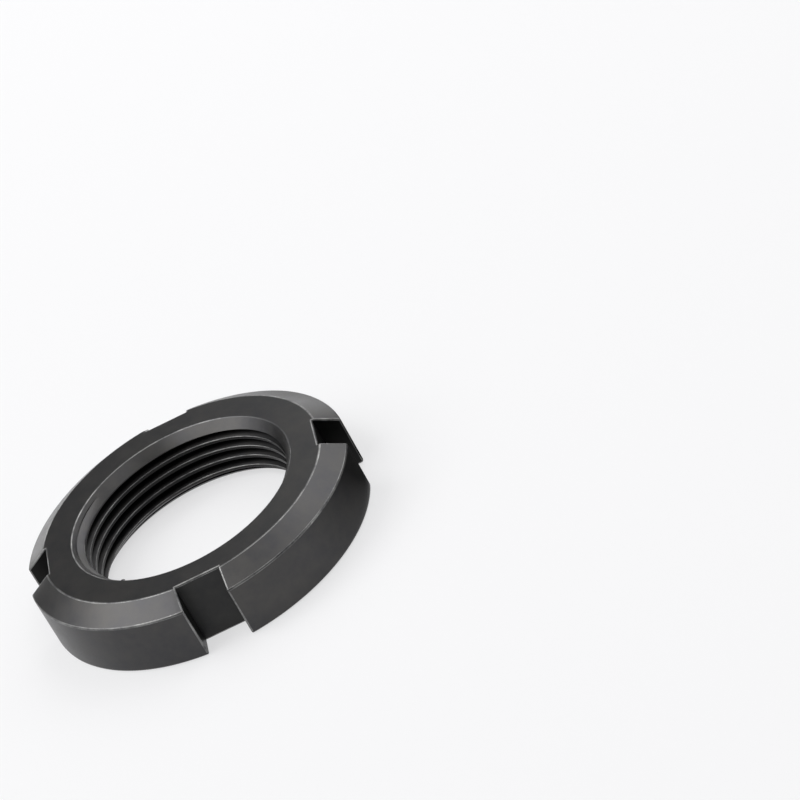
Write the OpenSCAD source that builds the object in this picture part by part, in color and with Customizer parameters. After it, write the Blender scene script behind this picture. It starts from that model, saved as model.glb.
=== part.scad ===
// Slotted round nut, turned from one steel blank, with hook spanner slots
// milled across its rim. The nut lies on its plain bearing face at z = 0, with
// its chamfered face up and its axis on Z. Sizes are in millimetres.

/* [Body] */
// Outside diameter of the rim
outer_d = 42; // [36:0.5:60]
// Thickness from the bearing face to the chamfered face
thickness = 8.4; // [6:0.1:14]
// Radial width of the chamfer round the upper face
chamfer_width = 2.8; // [1:0.1:4]
// Angle of that chamfer, measured from the flat face
chamfer_angle = 30; // [15:1:45]
// Edge break round the foot of the rim
foot_break = 0.4; // [0.1:0.05:0.6]

/* [Thread] */
// Nominal diameter of the thread that the nut takes
thread_d = 28; // [20:0.5:30]
// Pitch of that thread
thread_pitch = 1.5; // [1:0.25:2]
// How far each countersink opens outside the thread's nominal radius
countersink_lip = 0.4; // [0.1:0.1:0.8]
// Slope of each countersink, measured from the flat face
countersink_angle = 45; // [30:5:60]

/* [Spanner slots] */
// Number of slots, evenly spaced round the rim
slot_count = 4; // [3:1:6]
// Width between a slot's two side walls
slot_width = 5.5; // [4.5:0.1:8]
// Depth from the rim to a slot's flat floor
slot_depth = 3.25; // [1.5:0.05:4]
// Edge break round a slot's mouth, on both faces and on the rim
slot_break = 0.25; // [0.1:0.05:0.6]

/* [Hidden] */

rim_r = outer_d / 2;
face_r = rim_r - chamfer_width;
chamfer_h = chamfer_width * tan(chamfer_angle);

// The bore is cut at the thread's minor diameter: an internal thread of sixty
// degrees keeps five eighths of the height of its full triangle.
flank_angle = 60;
triangle_h = thread_pitch / (2 * tan(flank_angle / 2));
thread_h = 5 / 8 * triangle_h;
minor_r = thread_d / 2 - thread_h;

mouth_r = thread_d / 2 + countersink_lip;
countersink_h = (mouth_r - minor_r) * tan(countersink_angle);

half_slot = slot_width / 2;
floor_r = rim_r - slot_depth;
// A slot's wall crosses the flat face's edge and the rim at these distances
// along the slot, and falls between them with the chamfer.
wall_top_x = sqrt(face_r * face_r - half_slot * half_slot);
wall_end_x = sqrt(rim_r * rim_r - half_slot * half_slot);
wall_slope = atan(chamfer_h / (wall_end_x - wall_top_x));

// How far each cutter reaches past what it cuts
over = 1;
flare = slot_break + over;
flare_drop = chamfer_h + flare;

TURNED_FN = 180;

nut_color = [0.27, 0.27, 0.28];

// The blank as it leaves the lathe: rim, chamfer, bore and both countersinks
module turned_blank() {
    rotate_extrude($fn = TURNED_FN)
        polygon([
            [minor_r, countersink_h],
            [mouth_r, 0],
            [rim_r - foot_break, 0],
            [rim_r, foot_break],
            [rim_r, thickness - chamfer_h],
            [face_r, thickness],
            [mouth_r, thickness],
            [minor_r, thickness - countersink_h],
        ]);
}

// Plan of one slot on the +X side: parallel walls that flare at the rim
module slot_plan() {
    polygon([
        [floor_r, -half_slot],
        [wall_end_x - slot_break, -half_slot],
        [wall_end_x + over, -half_slot - flare],
        [rim_r + over, -half_slot - flare],
        [rim_r + over, half_slot + flare],
        [wall_end_x + over, half_slot + flare],
        [wall_end_x - slot_break, half_slot],
        [floor_r, half_slot],
    ]);
}

// Slopes both walls outwards above z = -slot_break, from x = -reach to reach
module wall_flare(reach) {
    translate([-reach, 0, 0])
        rotate([90, 0, 90])
            linear_extrude(2 * reach)
                polygon([
                    [-half_slot, -slot_break],
                    [half_slot, -slot_break],
                    [half_slot + flare, over],
                    [-half_slot - flare, over],
                ]);
}

// Slopes the floor inwards above z = -slot_break, and keeps clear of it below
module floor_flare() {
    translate([0, rim_r, 0])
        rotate([90, 0, 0])
            linear_extrude(outer_d)
                polygon([
                    [floor_r, -flare_drop],
                    [floor_r, -slot_break],
                    [floor_r - flare, over],
                    [rim_r + over, over],
                    [rim_r + over, -flare_drop],
                ]);
}

// Edge break at the chamfered face, whose walls follow the chamfer down
module top_break() {
    intersection() {
        floor_flare();
        translate([wall_top_x, 0, 0])
            rotate([0, wall_slope, 0])
                wall_flare(rim_r);
    }
}

// Edge break at the flat bearing face
module foot_slot_break() {
    intersection() {
        floor_flare();
        wall_flare(rim_r + over);
    }
}

// One slot, milled straight through from face to face, with its edges broken
module slot_cut() {
    translate([0, 0, -over])
        linear_extrude(thickness + 2 * over)
            slot_plan();
    translate([0, 0, thickness])
        top_break();
    mirror([0, 0, 1])
        foot_slot_break();
}

// The whole nut, one piece of steel
module nut() {
    color(nut_color)
        difference() {
            turned_blank();
            for (i = [0 : slot_count - 1])
                rotate([0, 0, i * 360 / slot_count])
                    slot_cut();
        }
}

nut();
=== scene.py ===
# %% [markdown]
# # A slotted round nut in black oxide steel
# The real nut starts as a slice of steel bar. A lathe turns its rim, its faces and its chamfers, a milling
# cutter opens four slots for a hook spanner, and a tap or a threading tool cuts the thread. Its edges are
# broken, and a hot salt bath then turns the bare steel black. This lesson follows the same order: a turned
# blank, four slots, broken edges, a thread, and only then the finish and the light.

# %% Load the frame
import bpy
import bmesh
import math
from mathutils import Matrix, Vector


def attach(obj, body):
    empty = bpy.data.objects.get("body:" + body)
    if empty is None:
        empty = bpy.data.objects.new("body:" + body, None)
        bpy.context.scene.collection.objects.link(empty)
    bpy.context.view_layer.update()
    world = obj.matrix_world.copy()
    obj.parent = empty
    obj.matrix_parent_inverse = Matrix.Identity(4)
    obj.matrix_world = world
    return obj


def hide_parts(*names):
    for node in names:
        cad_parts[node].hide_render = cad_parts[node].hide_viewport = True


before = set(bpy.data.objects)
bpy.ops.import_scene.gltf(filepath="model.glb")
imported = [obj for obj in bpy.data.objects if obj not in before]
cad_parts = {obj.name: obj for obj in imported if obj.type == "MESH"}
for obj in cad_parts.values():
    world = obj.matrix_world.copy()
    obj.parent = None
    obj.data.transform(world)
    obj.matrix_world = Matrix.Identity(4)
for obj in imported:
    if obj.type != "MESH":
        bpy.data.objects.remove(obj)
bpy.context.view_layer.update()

# %% [markdown]
# ## Sizes
# A machinist works from a few driving dimensions, and so does this script. They are in millimetres, as on
# a drawing, and every point is turned to metres when its vertex is made. The nut lies on its plain bearing
# face at z = 0, with the thread's axis on Z and a slot on each of +X, +Y, -X and -Y.

# %% Driving dimensions, in millimetres
MM = 0.001

rim_r = 21.0
thickness = 8.4
chamfer_width = 2.8
chamfer_angle = math.radians(30)
foot_break = 0.4

thread_d = 28.0
pitch = 1.5
countersink_lip = 0.4
countersink_angle = math.radians(45)

slot_count = 4
slot_width = 5.5
slot_depth = 3.25
slot_break = 0.25

# %% Dimensions that follow from them
# The thread's flanks lean by 30 degrees each, and the nut's side of it keeps five eighths of the height of
# the full triangle.
flank_lean = math.radians(30)
face_r = rim_r - chamfer_width
chamfer_h = chamfer_width * math.tan(chamfer_angle)
floor_r = rim_r - slot_depth
major_r = thread_d / 2
triangle_h = pitch / (2 * math.tan(flank_lean))
minor_r = major_r - 5 / 8 * triangle_h
mouth_r = major_r + countersink_lip
countersink_h = (mouth_r - minor_r) * math.tan(countersink_angle)
print("thread's minor diameter in mm:", round(2 * minor_r, 3))

# %% [markdown]
# ## The turned blank
# Everything that a lathe makes is one outline spun round an axis. The outline below has a corner for each
# place where the tool changed direction, and all its corners are sharp, because they are broken later with
# the edges of the slots. Its curved walls become narrow four-sided faces. The two flat faces are left as
# four big sectors each, because a flat face needs no lines across it, and a slot then cuts it cleanly.

# %% Columns round the axis
# A slot's walls aren't radial, so a column line close to one would leave slivers: a wall sweeps from 7.5
# degrees at the rim to 8.8 at its floor, and with its broken edge it ends before 10.
clear_inside = math.radians(6.4)
clear_outside = math.radians(10.2)
columns_in_slot = 12
columns_between = 70


def spaced(start, end, count):
    """Evenly spaced values from the start up to the end, without the end itself."""
    return [start + (end - start) * i / count for i in range(count)]


column_angles = []
for slot in range(slot_count):
    axis_angle = 2 * math.pi * slot / slot_count
    next_axis = 2 * math.pi * (slot + 1) / slot_count
    column_angles += spaced(axis_angle - clear_inside, axis_angle + clear_inside, columns_in_slot)
    column_angles += [axis_angle + clear_inside]
    column_angles += spaced(axis_angle + clear_outside, next_axis - clear_outside, columns_between)
    column_angles += [next_axis - clear_outside]

# No slot reaches the bore, so its columns are evenly spaced. They are as many as the rim's, and meet them
# half way between two slots.
middle_of_land = columns_in_slot + 1 + columns_between // 2
even_step = 2 * math.pi / len(column_angles)
bore_angles = [math.pi / slot_count + (i - middle_of_land) * even_step for i in range(len(column_angles))]
print("columns round the blank:", len(column_angles))


# %% [markdown]
# ## Four finishes on one piece
# Each tool leaves the steel with marks of its own, so a face has to know which tool made it. The solids learn
# it before they cut each other, because a cut hands the cutter's finish on to the surface that it leaves.

# %% Finishes that the faces can have
TURNED, MILLED, THREADED, BROKEN = range(4)
finishes = [bpy.data.materials.new(name) for name in (
    "turned black oxide steel",
    "milled black oxide steel",
    "threaded black oxide steel",
    "rubbed black oxide edge",
)]
print("finishes:", len(finishes))

# %% The outline and the spin
BORE_FOOT, LOW_MOUTH, FOOT, RIM_TOP, FACE_EDGE, TOP_MOUTH, BORE_TOP = range(7)
outline = {
    BORE_FOOT: (minor_r, countersink_h),
    LOW_MOUTH: (mouth_r, 0),
    FOOT: (rim_r, 0),
    RIM_TOP: (rim_r, thickness - chamfer_h),
    FACE_EDGE: (face_r, thickness),
    TOP_MOUTH: (mouth_r, thickness),
    BORE_TOP: (minor_r, thickness - countersink_h),
}
flat_faces = ((LOW_MOUTH, FOOT), (FACE_EDGE, TOP_MOUTH))
bore_wall = (BORE_TOP, BORE_FOOT)


def on_axis(radius, angle, height):
    """A point given round the nut's axis, in millimetres, as a point in metres."""
    return Vector((radius * math.cos(angle), radius * math.sin(angle), height)) * MM


def turned_blank():
    bm = bmesh.new()
    rings = {}
    for corner, (r, z) in outline.items():
        angles = bore_angles if r < floor_r else column_angles
        rings[corner] = [bm.verts.new(on_axis(r, angle, z)) for angle in angles]
    count = len(column_angles)
    corners = list(outline)
    for first, second in zip(corners, corners[1:] + corners[:1]):
        if (first, second) in flat_faces:
            continue
        for i in range(count):
            j = (i + 1) % count
            strip = bm.faces.new((rings[first][i], rings[first][j], rings[second][j], rings[second][i]))
            strip.material_index = THREADED if (first, second) == bore_wall else TURNED
    per_slot = count // slot_count
    for first, second in flat_faces:
        for slot in range(slot_count):
            start = slot * per_slot + middle_of_land
            around = [(start + i) % count for i in range(per_slot + 1)]
            near = [rings[first][i] for i in around]
            far = [rings[second][i] for i in reversed(around)]
            bm.faces.new(near + far)
    bmesh.ops.recalc_face_normals(bm, faces=bm.faces)
    return bm


def to_object(bm, name, materials):
    """Makes an object that has the given materials to choose from."""
    mesh = bpy.data.meshes.new(name)
    bm.to_mesh(mesh)
    bm.free()
    for material in materials:
        mesh.materials.append(material)
    made = bpy.data.objects.new(name, mesh)
    bpy.context.scene.collection.objects.link(made)
    return made


nut = to_object(turned_blank(), "slotted_nut", finishes)
print("blank:", len(nut.data.vertices), "vertices,", len(nut.data.polygons), "faces")

# %% [markdown]
# ## The milled slots
# A slot is what a cutter as wide as the slot leaves behind when it runs straight through the rim: two
# parallel walls and a flat floor. The quickest true copy is the same act, so a box is taken out of the
# blank at each quarter turn. The Manifold solver is used because it is exact on closed meshes.

# %% Cut the slots
overrun = 2.0


def box(low, high, finish):
    """A closed box between two corners in millimetres, whose faces leave one finish where it cuts."""
    bm = bmesh.new()
    bmesh.ops.create_cube(bm, size=1)
    for vert in bm.verts:
        vert.co = Vector((low[i] + (vert.co[i] + 0.5) * (high[i] - low[i])) * MM for i in range(3))
    for face in bm.faces:
        face.material_index = finish
    return bm


def cut(target, cutter, operation="DIFFERENCE"):
    """Takes the cutter out of the target, or joins it on, and throws the cutter away."""
    modifier = target.modifiers.new("cut", "BOOLEAN")
    modifier.operation = operation
    modifier.solver = "MANIFOLD"
    modifier.object = cutter
    bpy.context.view_layer.objects.active = target
    bpy.ops.object.modifier_apply(modifier=modifier.name)
    bpy.data.objects.remove(cutter)


for slot in range(slot_count):
    slot_box = box((floor_r, -slot_width / 2, -overrun),
                   (rim_r + overrun, slot_width / 2, thickness + overrun), MILLED)
    bmesh.ops.rotate(slot_box, verts=slot_box.verts, cent=(0, 0, 0),
                     matrix=Matrix.Rotation(2 * math.pi * slot / slot_count, 3, "Z"))
    cut(nut, to_object(slot_box, "slot_cutter", finishes))
print("with slots:", len(nut.data.vertices), "vertices,", len(nut.data.polygons), "faces")

# %% [markdown]
# ## Broken edges
# Nothing on a real nut is quite sharp: the edges of the slots are filed or tumbled to about 0.25 mm, and the
# lathe leaves a light break on its own edges. These thin rounds are what catches the light, so they are
# modelled. Each edge gets a bevel weight, its own width as a share of the widest, and one Bevel modifier
# rounds them all together, which also mitres the corners where they meet.

# %% Give each edge its width
# An edge is the lathe's where it turns by more than bend_of_corner, in radians: from one column to the next
# the wall turns by far less. A cut through a column's flat facet leaves a point up to facet_sag, in mm,
# inside the true circle.
bend_of_corner = 0.2
facet_sag = 0.02
same_point = 1e-4
turned_breaks = {
    FOOT: foot_break,
    RIM_TOP: 0.18,
    FACE_EDGE: 0.12,
    TOP_MOUTH: 0.1,
    LOW_MOUTH: 0.1,
}
widest_break = max(slot_break, foot_break)


def ring_of(vert):
    """The corner of the outline that a vertex lies on, or None."""
    radius = vert.co.xy.length / MM
    height = vert.co.z / MM
    for corner, (r, z) in outline.items():
        if abs(radius - r) < facet_sag and abs(height - z) < same_point:
            return corner
    return None


def weigh_edges(mesh):
    bm = bmesh.new()
    bm.from_mesh(mesh)
    weights = bm.edges.layers.float.new("bevel_weight_edge")
    counted = 0
    for edge in bm.edges:
        milled_sides = [face.material_index for face in edge.link_faces].count(MILLED)
        rings = {ring_of(vert) for vert in edge.verts}
        if milled_sides == 1:
            edge[weights] = slot_break / widest_break
        elif milled_sides == 0 and len(rings) == 1 and edge.calc_face_angle() > bend_of_corner:
            edge[weights] = turned_breaks.get(rings.pop(), 0) / widest_break
        counted += edge[weights] > 0
    bm.to_mesh(mesh)
    bm.free()
    return counted


print("edges to break:", weigh_edges(nut.data))

# %% Round them
break_segments = 4


def round_edges(target):
    modifier = target.modifiers.new("broken edges", "BEVEL")
    modifier.limit_method = "WEIGHT"
    modifier.offset_type = "OFFSET"
    modifier.width = widest_break * MM
    modifier.segments = break_segments
    modifier.profile = 0.5
    modifier.use_clamp_overlap = False
    modifier.loop_slide = False
    modifier.material = BROKEN
    bpy.context.view_layer.objects.active = target
    bpy.ops.object.modifier_apply(modifier=modifier.name)


def turn_foot(mesh):
    """The lathe made the break round the foot, and it keeps the turned finish, darker than the rubbed edges.
    """
    for face in mesh.polygons:
        radius = face.center.xy.length / MM
        if face.material_index == BROKEN and face.center.z / MM < foot_break and radius > rim_r - foot_break:
            face.material_index = TURNED


round_edges(nut)
turn_foot(nut.data)
print("with broken edges:", len(nut.data.vertices), "vertices,", len(nut.data.polygons), "faces")

# %% [markdown]
# ## The thread
# An internal thread is a groove that winds down the bore: sixty degrees between its flanks, a flat root an
# eighth of the pitch wide and a flat crest a quarter of the pitch wide. A threading tool of that section
# moves along the axis while the nut turns, and here its path is swept into one long closed solid and taken
# out of the bore. The tool is fed in over a ninth of a turn, so the groove fades out of the countersink,
# and at the other end it runs out past the face. The groove falls as it winds counter-clockwise, seen from
# above: a left-hand thread.

# %% The threading tool's section
# The tool is wider than the groove's mouth, so that it rounds the crest on both sides. Only the upper side
# of each crest gets the rubbed finish: partly wear from the shaft that goes in from above, and partly a
# painted highlight on the side that catches the light. The tool cuts a little deeper than the shaft's thread,
# by root_clearance, and at groove_angle the middle of the groove lies groove_below_face under the upper face.
THREAD_HAND = -1
groove_angle = math.radians(135)
groove_below_face = 0.47
run_in_from = math.radians(110)
run_in_to = math.radians(150)
run_in_depth = 1.0
steps_per_turn = 180
tool_reach = 1.6
crest_round = 0.12
crest_steps = 4
root_clearance = 0.09
bore_clearance = 0.2
root_half = pitch / 16
flank_turn = math.radians(60)
flank_slope = math.tan(flank_lean)


def groove_half(radius):
    return root_half + (major_r - radius) * flank_slope


def tool_side():
    """Half of the section from the axis outwards, as pairs of radius and half width."""
    centre_r = minor_r + crest_round
    centre_half = groove_half(minor_r) + crest_round * flank_slope
    points = [(minor_r - bore_clearance, centre_half)]
    for step in range(crest_steps + 1):
        a = flank_turn * step / crest_steps
        points.append((centre_r - crest_round * math.cos(a), centre_half - crest_round * math.sin(a)))
    points.append((major_r + root_clearance, groove_half(major_r + root_clearance)))
    return points


upper_side = tool_side()
lower_side = [(r, -half) for r, half in upper_side]
tool_section = lower_side + upper_side[::-1]
rubbed_and_highlit_strips = range(1, crest_steps + 1)
print("points in the tool's section:", len(tool_section))


# %% Sweep it down the bore
def drawn_back(angle):
    """How far the tool is still short of its full depth: all the way at first, and then ever less."""
    share = min((angle - run_in_from) / (run_in_to - run_in_from), 1)
    return run_in_depth * (1 - share * share * (3 - 2 * share))


def threading_tool_path():
    bm = bmesh.new()
    start_height = thickness - groove_below_face
    end_angle = groove_angle + 2 * math.pi * (start_height + tool_reach) / pitch
    steps = round((end_angle - run_in_from) / (2 * math.pi) * steps_per_turn)
    rings = []
    for angle in spaced(run_in_from, end_angle, steps):
        height = start_height + THREAD_HAND * pitch * (angle - groove_angle) / (2 * math.pi)
        back = drawn_back(angle)
        rings.append([bm.verts.new(on_axis(r - back, angle, height + z)) for r, z in tool_section])
    sides = len(tool_section)
    for near, far in zip(rings, rings[1:]):
        for k in range(sides):
            m = (k + 1) % sides
            strip = bm.faces.new((near[k], near[m], far[m], far[k]))
            # The upper crest's lighter rubbed finish is partly wear and partly a painted highlight.
            strip.material_index = BROKEN if k in rubbed_and_highlit_strips else THREADED
    bm.faces.new(rings[0])
    bm.faces.new(reversed(rings[-1]))
    bmesh.ops.recalc_face_normals(bm, faces=bm.faces)
    return bm


cut(nut, to_object(threading_tool_path(), "threading_tool", finishes))
print("with thread:", len(nut.data.vertices), "vertices,", len(nut.data.polygons), "faces")

# %% [markdown]
# ## A burr
# Where the threading tool crossed the front of the countersink it pushed up a crumb of steel, which stands
# into the bore as a tiny bump on the lip. It is a small ball, flattened, sunk into the lip and joined to the
# nut. It stays under the flat face, so the nut still lies flat when it is turned over.

# %% Join the burr
burr_angle = math.radians(232)
burr_size = (0.3, 0.34, 0.13)
burr_inward = 0.04
burr_below_face = 0.01


def burr():
    bm = bmesh.new()
    bmesh.ops.create_icosphere(bm, subdivisions=3, radius=1)
    facing = Matrix.Rotation(burr_angle, 3, "Z")
    centre = on_axis(mouth_r - burr_inward, burr_angle, thickness - burr_size[2] - burr_below_face)
    for vert in bm.verts:
        vert.co = centre + facing @ (vert.co * Vector(burr_size)) * MM
    for face in bm.faces:
        face.material_index = BROKEN
    return bm


cut(nut, to_object(burr(), "burr", finishes), "UNION")
print("with burr:", len(nut.data.vertices), "vertices,", len(nut.data.polygons), "faces")

# %% [markdown]
# ## Points that nearly meet
# Where a cutter just grazes a wall, it leaves points less than a thousandth of a millimetre apart, with faces
# between them that no one can see. Merging them leaves a lighter mesh that is still closed, which matters to
# anyone who exports it for printing.

# %% Merge them
nearly_meeting = 0.001


def merge_points(mesh):
    bm = bmesh.new()
    bm.from_mesh(mesh)
    bmesh.ops.remove_doubles(bm, verts=bm.verts, dist=nearly_meeting * MM)
    open_edges = sum(1 for edge in bm.edges if not edge.is_manifold)
    bm.to_mesh(mesh)
    bm.free()
    return open_edges


print("open edges after merging:", merge_points(nut.data))
print("finished:", len(nut.data.vertices), "vertices,", len(nut.data.polygons), "faces")

# %% [markdown]
# ## Smooth walls, crisp edges
# The columns have to shade as one round wall, and the edges between two cuts have to stay crisp. Every edge
# where the surface turns by more than a small angle is marked sharp, and the rest of it is shaded smooth.
# Weighted normals then lean each shared corner towards the larger face beside it, which keeps the big flat
# faces flat right up to their rounded borders.

# %% Shade the nut
sharp_angle = math.radians(26)
lean_to_large_faces = 80
nut.data.shade_smooth()
nut.data.set_sharp_from_angle(angle=sharp_angle)
lean = nut.modifiers.new("flat faces stay flat", "WEIGHTED_NORMAL")
lean.keep_sharp = True
lean.weight = lean_to_large_faces
print("sharp edges:", sum(1 for edge in nut.data.edges if edge.use_edge_sharp))

# %% [markdown]
# ## Tools for the finishes
# Colours are picked as sRGB hex values, as a designer reads them off a sample, and one function turns them
# to the linear values that a shader adds and multiplies. Another adds a node with its settings and links,
# so that a material reads as a list of what feeds what.

# %% Colour and node helpers
def linear(hex_colour):
    """An sRGB hex colour as linear red, green, blue and alpha."""
    parts = [int(hex_colour[i:i + 2], 16) / 255 for i in (1, 3, 5)]
    return [p / 12.92 if p <= 0.04045 else ((p + 0.055) / 1.055) ** 2.4 for p in parts] + [1]


def add(tree, kind, inputs, **settings):
    """Adds a node. An input is a plain value, or an output of another node to link from."""
    node = tree.nodes.new("ShaderNode" + kind)
    for name, value in settings.items():
        setattr(node, name, value)
    for name, value in inputs.items():
        if isinstance(value, bpy.types.NodeSocket):
            tree.links.new(value, node.inputs[name])
        else:
            node.inputs[name].default_value = value
    return node


def empty_tree(owner):
    owner.use_nodes = True
    owner.node_tree.nodes.clear()
    return owner.node_tree


# %% [markdown]
# ## What black oxide looks like
# Black oxide isn't a paint. Hot salts turn the outermost micrometre of the steel into magnetite, so the metal
# still shines through a thin dark skin and keeps every mark of the tool. A metallic shader with a dark base
# colour gives just that: dark where it mirrors something dark, grey where it mirrors a lamp. The skin grows
# unevenly, which the eye reads as faint patches, some warmer and some bluer. The turned, the milled and the
# threaded faces share it and differ in their tool marks, and the slots and the bore also get painted shade,
# so one function makes the skin and others make the marks and the painted shade. The rubbed edges come
# last, because they are what is left where the skin has worn away.

# %% Where a point lies on the nut
def place(tree):
    """A point in millimetres, its direction out from the axis, and its radius."""
    coordinates = add(tree, "TexCoord", {})
    point = add(tree, "VectorMath", {0: coordinates.outputs["Object"], "Scale": 1 / MM}, operation="SCALE")
    level = add(tree, "VectorMath", {0: point.outputs[0], 1: (1, 1, 0)}, operation="MULTIPLY")
    outward = add(tree, "VectorMath", {0: level.outputs[0]}, operation="NORMALIZE")
    radius = add(tree, "VectorMath", {0: level.outputs[0]}, operation="LENGTH")
    return point.outputs[0], outward.outputs[0], radius.outputs["Value"]


# %% The oxide's skin
# Real patches are 1 to 3 mm wide and run into clouds of about 8 mm. The crystals of the oxide are far too
# small to see, so their grain is drawn at 0.16 mm, as coarse as it needs to be to show.
patch_size = 1.7
cloud_size = 8.0
grain_size = 0.16
grain_depth = 0.0009
# Two noises added together stay nearly always between these values.
noise_low = 0.7
noise_high = 1.3
# The Mix node has sockets for each kind of data, and these are the ones for colours.
MIX_FACTOR, MIX_FIRST, MIX_SECOND, MIX_RESULT = 0, 6, 7, 2


def oxide_skin(material, marks, mark_depth, dark, light, smoothest, roughest, painted_shade=None):
    """Makes the oxide from its tool marks, their depth in mm, two colours and a range of roughness.

    Where shade is painted in, another function says how much of the colour is left.
    """
    tree = empty_tree(material)
    point = place(tree)[0]
    patches = add(tree, "TexNoise", {"Vector": point, "Scale": 1 / patch_size, "Detail": 4.0,
                                     "Roughness": 0.6})
    clouds = add(tree, "TexNoise", {"Vector": point, "Scale": 1 / cloud_size, "Detail": 1.0})
    uneven = add(tree, "Math", {0: patches.outputs["Fac"], 1: clouds.outputs["Fac"]}, operation="ADD")
    share = add(tree, "MapRange", {"Value": uneven.outputs[0], "From Min": noise_low,
                                   "From Max": noise_high})
    colour = add(tree, "Mix", {MIX_FACTOR: share.outputs["Result"], MIX_FIRST: linear(dark),
                               MIX_SECOND: linear(light)}, data_type="RGBA")
    # Painted shade: the share of the colour that is left where the slots and the bore are painted darker.
    left = painted_shade(tree) if painted_shade else 1.0
    shaded = add(tree, "VectorMath", {0: colour.outputs[MIX_RESULT], "Scale": left}, operation="SCALE")
    grain = add(tree, "TexNoise", {"Vector": point, "Scale": 1 / grain_size, "Detail": 2.0})
    blur = add(tree, "Math", {0: grain.outputs["Fac"], 1: patches.outputs["Fac"]}, operation="ADD")
    roughness = add(tree, "MapRange", {"Value": blur.outputs[0], "From Min": noise_low,
                                       "From Max": noise_high, "To Min": smoothest, "To Max": roughest})
    cut_marks = add(tree, "Bump", {"Height": marks(tree), "Distance": mark_depth * MM})
    surface = add(tree, "Bump", {"Height": grain.outputs["Fac"], "Distance": grain_depth * MM,
                                 "Normal": cut_marks.outputs["Normal"]})
    steel = add(tree, "BsdfPrincipled", {"Base Color": shaded.outputs["Vector"], "Metallic": 1.0,
                                         "Roughness": roughness.outputs["Result"],
                                         "Normal": surface.outputs["Normal"]})
    add(tree, "OutputMaterial", {"Surface": steel.outputs["BSDF"]})
    print(material.name + ":", len(tree.nodes), "nodes")


# %% [markdown]
# ## Turned steel
# A lathe tool leaves a groove as fine as a record's, one for each turn of the work: about 0.1 mm apart. Seen
# from a step away the grooves only stretch a highlight a little along the axis. They could be a wave
# texture, but real ones vary in depth, so a noise is stretched instead: it changes quickly from one groove
# to the next, and slowly round the axis.

# %% The finish that a lathe leaves
# The feed is drawn at 0.22 mm, twice as coarse as the real one, because a finer one falls between pixels.
# On the flat and sloping faces the tool feeds outwards, so the streaks follow the radius as well as the
# height.
feed = 0.22
turned_streak = 2.5
height_share = 0.6


def turning_marks(tree):
    """Streaks round the axis, as wide as the feed."""
    point, outward, radius = place(tree)
    split = add(tree, "SeparateXYZ", {"Vector": point})
    along = add(tree, "Math", {0: split.outputs["Z"], 1: height_share, 2: radius}, operation="MULTIPLY_ADD")
    turns = add(tree, "Math", {0: along.outputs[0], 1: 1 / feed}, operation="MULTIPLY")
    across = add(tree, "CombineXYZ", {"Z": turns.outputs[0]})
    streaks = add(tree, "VectorMath", {0: outward, 1: (turned_streak,) * 3, 2: across.outputs[0]},
                  operation="MULTIPLY_ADD")
    return add(tree, "TexNoise", {"Vector": streaks.outputs[0], "Scale": 1.0, "Detail": 1.0}).outputs["Fac"]


# Turned black oxide steel: a satin dark grey that turns light where it mirrors a lamp.
oxide_skin(finishes[TURNED], turning_marks, mark_depth=0.0022, dark="#434345", light="#4e4d4c",
           smoothest=0.34, roughest=0.42)

# %% [markdown]
# ## Milled steel
# A slotting cutter passes through the rim from face to face and scores the walls and the floor along its
# way. The slots are painted darker than the rim, as painted shade for the recess, and the two walls darker
# still. So the floor looks a shade deeper than the rim, and the walls nearly black.

# %% The finish that a milling cutter leaves
# The scores are drawn at 0.3 mm, a few times as coarse as the real ones, and each runs for several mm.
# A face is floor where it faces straight out from the axis, and wall where it faces aside.
score_width = 0.3
score_length = 9.0
# The walls keep this share of their colour, as painted shade.
painted_wall_shade = 0.52
faces_aside = 0.3
faces_out = 0.8


def milling_marks(tree):
    """Straight scores that run through the rim, along the nut's axis."""
    point = place(tree)[0]
    stretched = add(tree, "VectorMath", {0: point, 1: (1 / score_width, 1 / score_width, 1 / score_length)},
                    operation="MULTIPLY")
    return add(tree, "TexNoise", {"Vector": stretched.outputs[0], "Scale": 1.0, "Detail": 2.0}).outputs["Fac"]


def shade_painted_in_slots(tree):
    """How much of its colour a slot shows: all of it on the floor, and less on the two walls, as painted
    shade.
    """
    outward = place(tree)[1]
    facing = add(tree, "TexCoord", {}).outputs["Normal"]
    out_facing = add(tree, "VectorMath", {0: facing, 1: outward}, operation="DOT_PRODUCT")
    left = add(tree, "MapRange", {"Value": out_facing.outputs["Value"], "From Min": faces_aside,
                                  "From Max": faces_out, "To Min": painted_wall_shade})
    return left.outputs["Result"]


# Milled black oxide steel: the same skin, a little rougher and scored straight through, painted deeper than
# the rim as shade in the slots.
oxide_skin(finishes[MILLED], milling_marks, mark_depth=0.003, dark="#323233", light="#3c3c3b",
           smoothest=0.38, roughest=0.46, painted_shade=shade_painted_in_slots)

# %% [markdown]
# ## Threaded steel
# A threading tool cuts on both its flanks, so its marks follow the groove round. The thread is painted much
# darker deep in the bore than where it starts, as painted shade for the depth of the bore.

# %% The finish that a threading tool leaves
# Its tears are drawn at 0.14 mm, about as wide as the real ones.
thread_streak = 5.0
tear_width = 0.14
# Near the middle of the nut's height the thread is painted darker, as painted shade, and keeps only this
# share of its colour.
light_beyond = thickness / 2 - countersink_h + 0.15
dark_within = light_beyond - 0.5
painted_bore_shade = 0.31


def threading_marks(tree):
    """Short tears round the bore, finer than the turned streaks."""
    outward, radius = place(tree)[1:]
    deep = add(tree, "Math", {0: radius, 1: 1 / tear_width}, operation="MULTIPLY")
    across = add(tree, "CombineXYZ", {"Z": deep.outputs[0]})
    tears = add(tree, "VectorMath", {0: outward, 1: (thread_streak,) * 3, 2: across.outputs[0]},
                operation="MULTIPLY_ADD")
    return add(tree, "TexNoise", {"Vector": tears.outputs[0], "Scale": 1.0, "Detail": 2.0}).outputs["Fac"]


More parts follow.
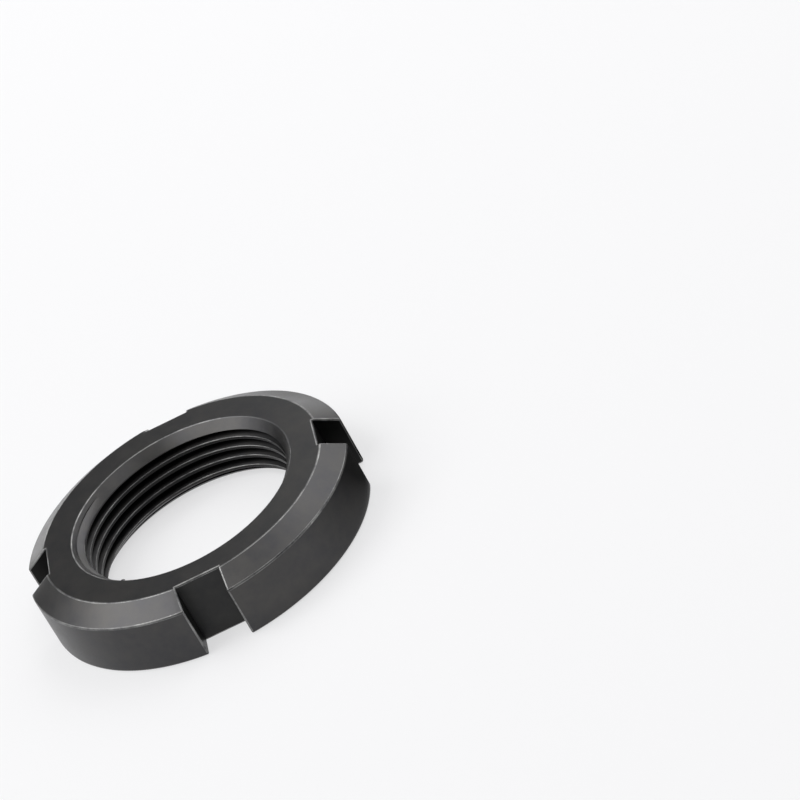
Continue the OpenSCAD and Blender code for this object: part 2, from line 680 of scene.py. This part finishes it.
def shade_painted_in_bore(tree):
    """How much of its colour the thread shows: all of it near the two faces, and less in between, as painted
    shade.
    """
    split = add(tree, "SeparateXYZ", {"Vector": place(tree)[0]})
    to_middle = add(tree, "Math", {0: split.outputs["Z"], 1: thickness / 2}, operation="SUBTRACT")
    depth = add(tree, "Math", {0: to_middle.outputs[0]}, operation="ABSOLUTE")
    left = add(tree, "MapRange", {"Value": depth.outputs[0], "From Min": dark_within,
                                  "From Max": light_beyond, "To Min": painted_bore_shade})
    return left.outputs["Result"]


# Threaded black oxide steel: the turned colours, painted much darker deep in the bore as painted shade, so
# nearly black there, with a satin glint along each flank.
oxide_skin(finishes[THREADED], threading_marks, mark_depth=0.002, dark="#434345", light="#4e4d4c",
           smoothest=0.34, roughest=0.42, painted_shade=shade_painted_in_bore)

# %% [markdown]
# ## Rubbed edges
# Where the nut is knocked about in a bin and a spanner slips in, the oxide wears thin and the steel greys
# through. On a real nut this shows only on the breaks of its edges and on the crests of its thread, so only
# those narrow faces get this finish. It isn't even: some stretches are still dark, and one side of the bore's
# lip has been spared.

# %% The finish of the broken edges
# How worn a stretch is comes from a noise: under wear_from it is still dark, over worn_through it is grey.
rub_length = 2.6
wear_from = 0.36
worn_through = 0.62
# How far the lip is spared comes from how well a point's direction agrees with the spared side, where 1 is
# straight at it: within 18 degrees the lip is spared fully, and beyond 53 not at all.
spared_angle = math.radians(10)
spared_side = (math.cos(spared_angle), math.sin(spared_angle), 0)
spared_from = 0.6
spared_fully = 0.95


def spared_lip(tree):
    """How far a point lies on the spared side of the bore's upper lip, from 0 to 1."""
    point, outward, radius = place(tree)
    split = add(tree, "SeparateXYZ", {"Vector": point})
    aside = add(tree, "VectorMath", {0: outward, 1: spared_side}, operation="DOT_PRODUCT")
    facing = add(tree, "MapRange", {"Value": aside.outputs["Value"], "From Min": spared_from,
                                    "From Max": spared_fully})
    inner = add(tree, "Math", {0: radius, 1: (mouth_r + face_r) / 2}, operation="LESS_THAN")
    upper = add(tree, "Math", {0: split.outputs["Z"], 1: thickness - countersink_lip},
                operation="GREATER_THAN")
    lip = add(tree, "Math", {0: inner.outputs[0], 1: upper.outputs[0]}, operation="MULTIPLY")
    spared = add(tree, "Math", {0: lip.outputs[0], 1: facing.outputs["Result"]}, operation="MULTIPLY")
    return spared.outputs[0]


def rubbed_edge(material, kept, worn, smoothest, roughest):
    """Oxide that is worn through in stretches, from a kept colour to a worn one."""
    tree = empty_tree(material)
    point = place(tree)[0]
    stretches = add(tree, "TexNoise", {"Vector": point, "Scale": 1 / rub_length, "Detail": 5.0,
                                       "Roughness": 0.7})
    rubbed = add(tree, "Math", {0: stretches.outputs["Fac"], 1: spared_lip(tree)}, operation="SUBTRACT")
    wear = add(tree, "MapRange", {"Value": rubbed.outputs[0], "From Min": wear_from,
                                  "From Max": worn_through})
    colour = add(tree, "Mix", {MIX_FACTOR: wear.outputs["Result"], MIX_FIRST: linear(kept),
                               MIX_SECOND: linear(worn)}, data_type="RGBA")
    roughness = add(tree, "MapRange", {"Value": wear.outputs["Result"], "To Min": roughest,
                                       "To Max": smoothest})
    grain = add(tree, "TexNoise", {"Vector": point, "Scale": 1 / grain_size, "Detail": 2.0})
    surface = add(tree, "Bump", {"Height": grain.outputs["Fac"], "Distance": grain_depth * MM})
    steel = add(tree, "BsdfPrincipled", {"Base Color": colour.outputs[MIX_RESULT], "Metallic": 1.0,
                                         "Roughness": roughness.outputs["Result"],
                                         "Normal": surface.outputs["Normal"]})
    add(tree, "OutputMaterial", {"Surface": steel.outputs["BSDF"]})
    print(material.name + ":", len(tree.nodes), "nodes")


# Rubbed black oxide edge: a thin grey line that lights up where it mirrors a lamp.
rubbed_edge(finishes[BROKEN], kept="#575758", worn="#898988", smoothest=0.35, roughest=0.43)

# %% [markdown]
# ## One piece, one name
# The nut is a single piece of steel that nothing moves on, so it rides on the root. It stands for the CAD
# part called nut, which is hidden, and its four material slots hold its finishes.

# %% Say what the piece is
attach(nut, "root")
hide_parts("nut")

# %% [markdown]
# ## The floor
# A pale seamless sheet lies under the nut. It shines a little by itself, which brings it up to the white of
# the background, and the rest of its light comes from the softboxes, so the nut still drops a soft shadow.

# %% Lay the floor
# The floor's side is in metres.
floor_size = 6.0
floor_glow = 0.65


def floor_finish():
    material = bpy.data.materials.new("pale seamless paper")
    tree = empty_tree(material)
    seen = add(tree, "LightPath", {})
    camera_or_glossy = add(tree, "Math", {0: seen.outputs["Is Camera Ray"], 1: seen.outputs["Is Glossy Ray"]},
                           operation="MAXIMUM")
    any_look = add(tree, "Math", {0: camera_or_glossy.outputs[0], 1: seen.outputs["Is Transmission Ray"]},
                   operation="MAXIMUM")
    share = add(tree, "Math", {0: any_look.outputs[0], 1: floor_glow}, operation="MULTIPLY")
    paper = add(tree, "BsdfDiffuse", {"Color": linear("#e0e0e1")})
    white = add(tree, "Emission", {"Color": linear("#fafafb"), "Strength": 1.0})
    mixed = add(tree, "MixShader", {0: share.outputs[0], 1: paper.outputs["BSDF"],
                                    2: white.outputs["Emission"]})
    add(tree, "OutputMaterial", {"Surface": mixed.outputs["Shader"]})
    return material


bpy.ops.mesh.primitive_plane_add(size=floor_size)
floor = bpy.context.object
floor.name = "floor"
floor.data.materials.append(floor_finish())
print("floor's side in m:", floor_size)

# %% [markdown]
# ## A flag
# A photographer darkens one side of a shiny thing with a dark card, called a flag. Here the rim turns away
# into the dark on its right, little by little, so the card is a graded one: clear at the front and black at
# the side. It lies round the nut on the floor and is kept out of everything but reflections, so it is never
# seen itself and casts no shadow.

# %% Lay the flag
# It is a piece of a ring, given by its radii and by the angles where it starts, is darkest and ends.
flag_radii = (rim_r + 0.3, 80.0)
flag_start = math.radians(-45)
flag_darkest = math.radians(-3)
flag_end = math.radians(75)
flag_height = 0.1
flag_steps = 24
most_ink = 0.96


def graded_card():
    material = bpy.data.materials.new("graded black card")
    tree = empty_tree(material)
    coordinates = add(tree, "TexCoord", {})
    split = add(tree, "SeparateXYZ", {"Vector": coordinates.outputs["Object"]})
    angle = add(tree, "Math", {0: split.outputs["Y"], 1: split.outputs["X"]}, operation="ARCTAN2")
    ink = add(tree, "MapRange", {"Value": angle.outputs[0], "From Min": flag_start, "From Max": flag_darkest,
                                 "To Max": most_ink})
    clear = add(tree, "BsdfTransparent", {})
    black = add(tree, "BsdfDiffuse", {"Color": linear("#161616")})
    card = add(tree, "MixShader", {0: ink.outputs["Result"], 1: clear.outputs["BSDF"],
                                   2: black.outputs["BSDF"]})
    add(tree, "OutputMaterial", {"Surface": card.outputs["Shader"]})
    return material


def ring_piece():
    bm = bmesh.new()
    angles = spaced(flag_start, flag_end, flag_steps) + [flag_end]
    arcs = [[bm.verts.new(on_axis(radius, angle, flag_height)) for angle in angles] for radius in flag_radii]
    for k in range(flag_steps):
        bm.faces.new((arcs[0][k], arcs[1][k], arcs[1][k + 1], arcs[0][k + 1]))
    return bm


flag = to_object(ring_piece(), "flag", [graded_card()])
flag.visible_camera = False
flag.visible_diffuse = False
flag.visible_transmission = False
flag.visible_shadow = False
print("the flag's arc in degrees:", round(math.degrees(flag_end - flag_start)))

# %% [markdown]
# ## The room
# The nut stands in a dark room, so that it mirrors only the floor and the softboxes. The camera sees a white
# wall behind instead, as it would after the picture is cut out for a catalogue.

# %% Light the room
wall_glow = 1.0
dark_share = 0.05
room = bpy.data.worlds.new("white room")
bpy.context.scene.world = room
sky = empty_tree(room)
looks = add(sky, "LightPath", {})
dark_walls = add(sky, "Background", {"Color": linear("#fafafa"), "Strength": dark_share})
white_wall = add(sky, "Background", {"Color": linear("#fafafa"), "Strength": wall_glow})
pick = add(sky, "MixShader", {0: looks.outputs["Is Camera Ray"], 1: dark_walls.outputs["Background"],
                              2: white_wall.outputs["Background"]})
add(sky, "OutputWorld", {"Surface": pick.outputs["Shader"]})
print("the dark walls' share of the white one:", dark_share)

# %% [markdown]
# ## Softboxes
# A metal shows what it mirrors, so lighting it means choosing what stands round it. Each softbox below is one
# soft patch in the nut's reflection. The overhead one and the high ones light the chamfer and the
# countersink. The ones half way up behind it light the flat face, and the closest makes that face lighter on
# one side. The low ones light thin things that face the camera: the broken edges and the thread's crests.

# %% Hang the softboxes
# Each row: name, degrees round from the front (counter-clockwise seen from above), degrees up, distance,
# width and height in metres, and the brightness of its surface, where 1 is a white wall.
softboxes = [
    ("overhead", 0, 90, 1.0, 0.5, 0.5, 1.1),
    ("high_right_front", 65, 60, 1.0, 0.49, 0.47, 1.5),
    ("high_right_back", 135, 58, 1.0, 0.49, 0.47, 2.85),
    ("high_left_back", 247, 60, 1.0, 0.49, 0.47, 4.4),
    ("high_left_front", 310, 62, 1.0, 0.49, 0.47, 3.0),
    ("right", 100, 35, 1.0, 0.62, 0.45, 0.95),
    ("back_right", 145, 35, 1.0, 0.62, 0.45, 1.8),
    ("back", 190, 35, 1.0, 0.62, 0.45, 0.2),
    ("back_left", 240, 40, 1.0, 0.6, 0.4, 1.4),
    ("left", 280, 35, 1.0, 0.62, 0.45, 2.9),
    ("close_back", 164, 32, 0.3, 0.2, 0.14, 0.96),
    ("low_back", 173, 6, 1.0, 0.28, 0.13, 4.8),
    ("low_back_left", 204, 3.2, 1.0, 0.26, 0.1, 7.5),
    ("low_left", 250, 17, 1.0, 0.3, 0.2, 2.2),
    ("low_left_front", 310, 20, 1.0, 0.45, 0.24, 1.2),
    ("low_front", 15, 22, 1.0, 0.5, 0.24, 0.7),
    ("low_right_front", 80, 8, 1.0, 0.34, 0.14, 6.5),
]


def toward(around, up):
    """The direction from the nut to a lamp."""
    around = math.radians(around)
    up = math.radians(up)
    return Vector((math.sin(around) * math.cos(up), -math.cos(around) * math.cos(up), math.sin(up)))


def softbox(name, around, up, distance, width, height, brightness):
    lamp = bpy.data.lights.new(name, "AREA")
    lamp.shape = "RECTANGLE"
    lamp.size = width
    lamp.size_y = height
    lamp.energy = brightness * math.pi * width * height
    made = bpy.data.objects.new(name, lamp)
    bpy.context.scene.collection.objects.link(made)
    made.location = toward(around, up) * distance
    made.rotation_euler = toward(around, up).to_track_quat("Z", "Y").to_euler()
    made.visible_camera = False


for row in softboxes:
    softbox(*row)
print("softboxes:", len(softboxes))

# %% [markdown]
# ## The camera
# The photograph was taken with a long lens, so its lines hardly converge, and with the camera rolled, so the
# nut seems to stand on its rim. The camera is given by where it stands, seen from the nut, and by how far it
# looks aside and down. These were fitted to the outline, the slots and the lip of the bore.

# %% Place the camera
# Lengths are in metres, and the lens and its sensor in millimetres, as Blender takes them.
stand_off = 0.48405
stand_around = math.radians(10.2075)
stand_up = math.radians(31.0699)
look_aside = math.radians(6.3055)
look_down = math.radians(30.5803)
roll = math.radians(29.0307)

lens = bpy.data.cameras.new("camera")
lens.lens = 182.7
lens.sensor_width = 36.0
lens.clip_start = 0.01
camera = bpy.data.objects.new("camera", lens)
bpy.context.scene.collection.objects.link(camera)
camera.location = stand_off * Vector((math.sin(stand_around) * math.cos(stand_up),
                                      -math.cos(stand_around) * math.cos(stand_up),
                                      math.sin(stand_up)))
turn = (Matrix.Rotation(look_aside, 3, "Z")
        @ Matrix.Rotation(math.pi / 2 - look_down, 3, "X")
        @ Matrix.Rotation(-roll, 3, "Z"))
camera.rotation_euler = turn.to_euler()
bpy.context.scene.camera = camera
bpy.context.scene.view_settings.view_transform = "Standard"
print("the camera's height over the floor in mm:", round(camera.location.z / MM, 1))
